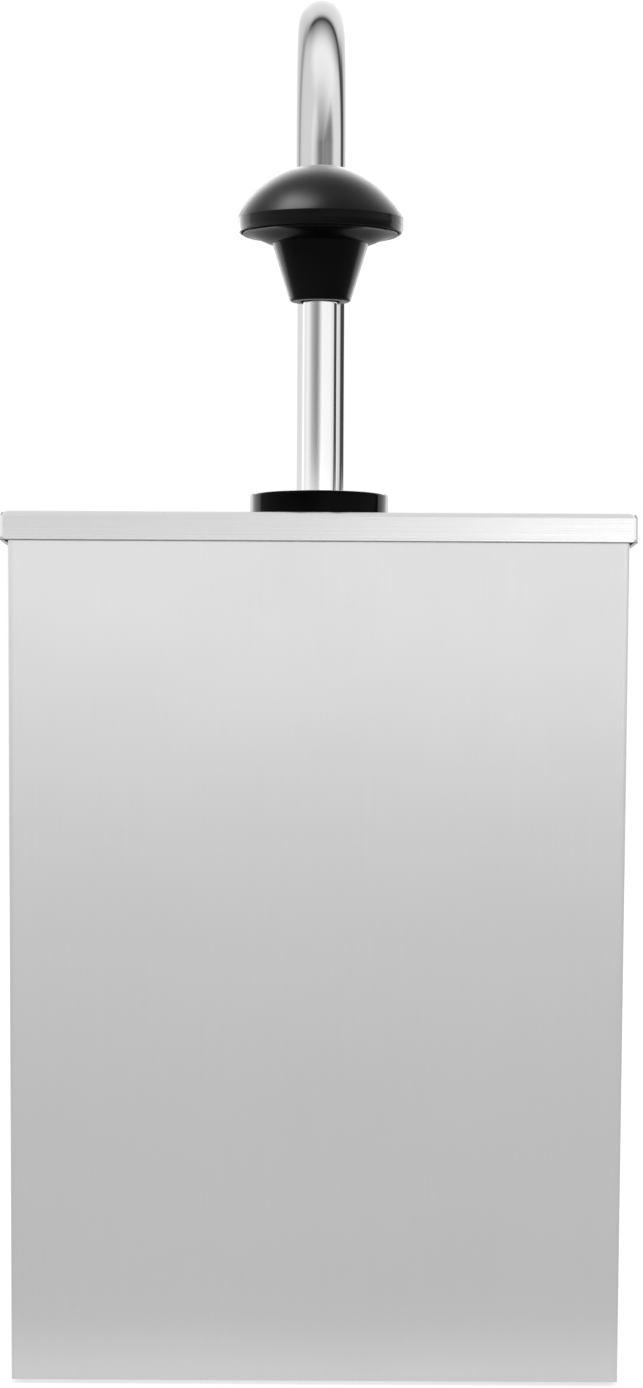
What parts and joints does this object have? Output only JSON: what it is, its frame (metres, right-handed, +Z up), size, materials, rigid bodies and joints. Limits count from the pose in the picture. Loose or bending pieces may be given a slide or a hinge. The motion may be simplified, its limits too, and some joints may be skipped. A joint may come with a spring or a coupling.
{
  "type": "sauce dispenser",
  "caption": "Steel counter-top sauce dispenser: box housing, lift-out tub and a lid with a knob-pressed piston pump and gooseneck spout.",
  "frame": {"origin": "on the standing surface, midway under the whole object (the gooseneck reaches past the housing on the +Y side)", "axes": "+Z up, +Y towards the side that the spout pours on, -Y towards the side of the knob"},
  "size_m": [0.1906, 0.2202, 0.443],
  "materials": {
    "brushed_steel": "fine vertical brush",
    "tub_steel": "satin, drawn",
    "polished_steel": "mirror polished",
    "machined_steel": "turned",
    "black_plastic": "satin moulded",
    "collar_plastic": "gloss moulded",
    "white_plastic": "turned acetal",
    "rubber": "matt",
    "silicone": "matt, translucent white"
  },
  "bodies": {
    "housing": {"housing_shell": "brushed_steel", "base_plate": "brushed_steel", "foot_front_left": "rubber", "foot_front_right": "rubber", "foot_rear_left": "rubber", "foot_rear_right": "rubber"},
    "tub": {"food_tub": "tub_steel"},
    "pump_unit": {"lid": "brushed_steel", "pump_collar": "collar_plastic", "rod_bush": "white_plastic", "rod_wiper": "rubber", "pump_cylinder": "machined_steel", "lid_gasket": "silicone", "cylinder_gasket": "silicone", "valve_body": "white_plastic", "inlet_cage": "machined_steel", "port_gasket": "silicone", "outlet_elbow": "white_plastic", "outlet_stop_pin": "machined_steel", "riser_seal": "rubber", "riser_nut": "machined_steel", "riser_grommet": "rubber", "discharge_tube": "polished_steel"},
    "plunger": {"knob_cap": "black_plastic", "knob_body": "black_plastic", "knob_insert": "machined_steel", "plunger_rod": "polished_steel", "piston": "white_plastic", "piston_seal_lower": "rubber", "piston_seal_upper": "rubber", "piston_nut": "machined_steel", "return_spring": "machined_steel"},
    "inlet_check_ball": {"inlet_ball": "polished_steel"},
    "outlet_check_ball": {"outlet_ball": "polished_steel"}
  },
  "joints": [
    {"name": "tub_lift_out", "type": "slide", "parent": "housing", "child": "tub", "axis": [0, 0, 1], "range_m": [0, 0.205]},
    {"name": "lid_lift_off", "type": "slide", "parent": "tub", "child": "pump_unit", "axis": [0, 0, 1], "range_m": [0, 0.2]},
    {"name": "plunger_press", "type": "slide", "parent": "pump_unit", "child": "plunger", "axis": [0, 0, -1], "range_m": [0, 0.05], "stiffness_N_per_m": 400, "springref_m": -0.02, "deforming": ["return_spring"]},
    {"name": "inlet_ball_lift", "type": "slide", "parent": "pump_unit", "child": "inlet_check_ball", "axis": [0, 0, 1], "range_m": [0, 0.004]},
    {"name": "outlet_ball_lift", "type": "slide", "parent": "pump_unit", "child": "outlet_check_ball", "axis": [0, 0, 1], "range_m": [0, 0.0025]}
  ]
}
